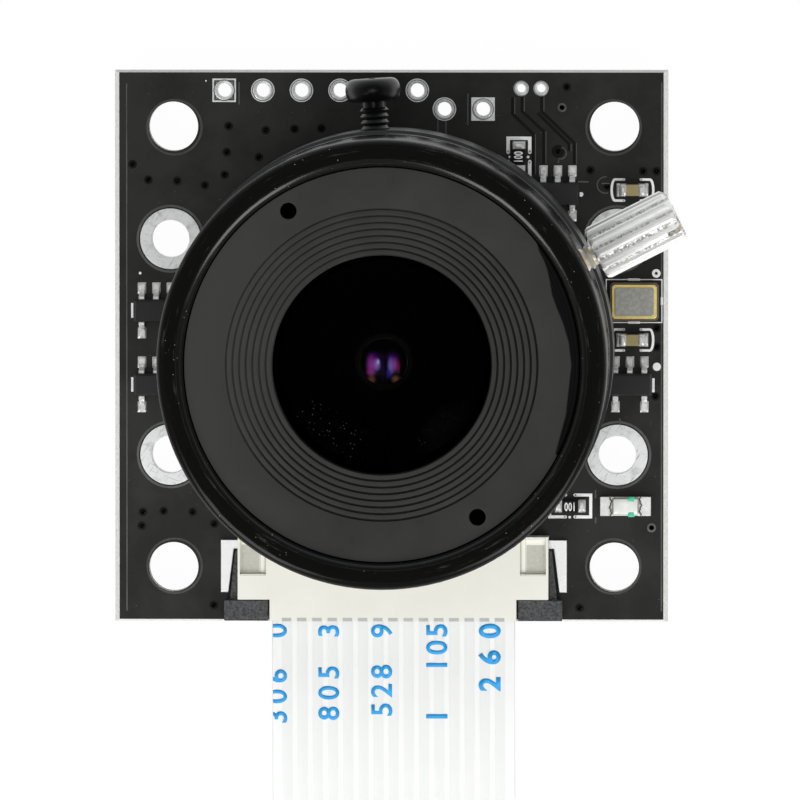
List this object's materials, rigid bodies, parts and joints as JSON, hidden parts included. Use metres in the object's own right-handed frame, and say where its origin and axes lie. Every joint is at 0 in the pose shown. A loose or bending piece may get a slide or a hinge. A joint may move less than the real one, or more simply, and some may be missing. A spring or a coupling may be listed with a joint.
{
  "type": "camera module",
  "caption": "Board camera: a square black circuit board carrying a screw-in focusing lens in a threaded mount, with lock screws and a flat-cable connector.",
  "frame": {"origin": "centre of the four corner holes, on the underside of the circuit board", "axes": "+Z is the way the lens looks; the flat cable leaves towards -Y; +X is to the right seen from the front"},
  "size_m": [0.0378, 0.1815, 0.0322],
  "materials": {
    "board_black": "satin black solder mask over fibreglass",
    "tinned_pads": "tinned copper, lightly scratched",
    "sensor_dark": "dark package",
    "cover_glass": "clear cover glass",
    "filter_glass": "coated filter glass",
    "anodised_black": "satin black anodised",
    "barrel_black": "semi-gloss black anodised",
    "face_grey": "matte dark grey",
    "inner_black": "dead matte black",
    "front_glass": "coated optical glass",
    "coated_glass": "optical glass with a purple coating",
    "black_screw": "black oxide",
    "nickel_screw": "nickel plated, turned",
    "connector_cream": "moulded, faint sheen",
    "latch_black": "moulded, fine texture",
    "tinned_tab": "tinned sheet",
    "contact_gold": "gold flashed",
    "stiffener_blue": "polyester backing",
    "cable_white": "polyester film over flat conductors",
    "contact_tin": "tinned copper strips",
    "chip_black": "moulded epoxy",
    "lead_tin": "tinned, soldered",
    "capacitor_tan": "fired ceramic",
    "resistor_black": "black glaze",
    "oscillator_ceramic": "brown ceramic",
    "seal_gold": "gold plated seal ring",
    "lid_steel": "nickel plated lid",
    "led_white": "white laminate",
    "led_clear": "clear resin"
  },
  "bodies": {
    "module": {"circuit_board": "board_black", "mounting_lands": "tinned_pads", "header_pads": "tinned_pads", "image_sensor": "sensor_dark", "sensor_glass": "cover_glass", "infrared_filter": "filter_glass", "lens_mount": "anodised_black", "mount_screws": "black_screw", "connector_housing": "connector_cream", "connector_tabs": "tinned_tab", "connector_contacts": "contact_gold", "inner_stiffener": "stiffener_blue", "flat_cable": "cable_white", "end_stiffener": "stiffener_blue", "end_contacts": "contact_tin", "regulator_bodies": "chip_black", "regulator_leads": "lead_tin", "logic_chip_body": "chip_black", "logic_chip_leads": "lead_tin", "capacitor_bodies": "capacitor_tan", "capacitor_ends": "lead_tin", "resistor_bodies": "resistor_black", "resistor_ends": "lead_tin", "oscillator_base": "oscillator_ceramic", "oscillator_seal_ring": "seal_gold", "oscillator_lid": "lid_steel", "led_base": "led_white", "led_lens": "led_clear", "led_ends": "lead_tin"},
    "lens_base": {"rear_barrel": "anodised_black"},
    "focus_group": {"focus_barrel": "barrel_black", "face_ring": "face_grey", "lens_cell": "inner_black", "front_element": "front_glass", "second_element": "coated_glass", "aperture_stop": "inner_black", "front_spacer": "inner_black", "middle_element": "coated_glass", "rear_spacer": "inner_black", "rear_element": "coated_glass", "rear_retainer": "inner_black"},
    "thumb_screw": {"focus_lock_screw": "nickel_screw"},
    "lock_screw": {"mount_lock_screw": "black_screw"},
    "latch": {"connector_latch": "latch_black"}
  },
  "joints": [
    {"name": "lens_turn", "type": "hinge", "parent": "module", "child": "lens_base", "pos_m": [0, 0, 0.0165], "axis": [0, 0, 1], "range_deg": [0, 360]},
    {"name": "focus_turn", "type": "hinge", "parent": "lens_base", "child": "focus_group", "pos_m": [0, 0, 0.024], "axis": [0, 0, 1], "range_deg": [-30, 270]},
    {"name": "thumb_screw_turn", "type": "hinge", "parent": "focus_group", "child": "thumb_screw", "pos_m": [0, 0, 0.0236], "axis": [0.8926, 0.4509, 0], "range_deg": [0, 360]},
    {"name": "lock_screw_turn", "type": "hinge", "parent": "module", "child": "lock_screw", "pos_m": [0, 0, 0.0112], "axis": [-0.0645, 0.9979, 0], "range_deg": [0, 360]},
    {"name": "latch_slide", "type": "slide", "parent": "module", "child": "latch", "axis": [0, -1, 0], "range_m": [0, 0.0012]}
  ]
}
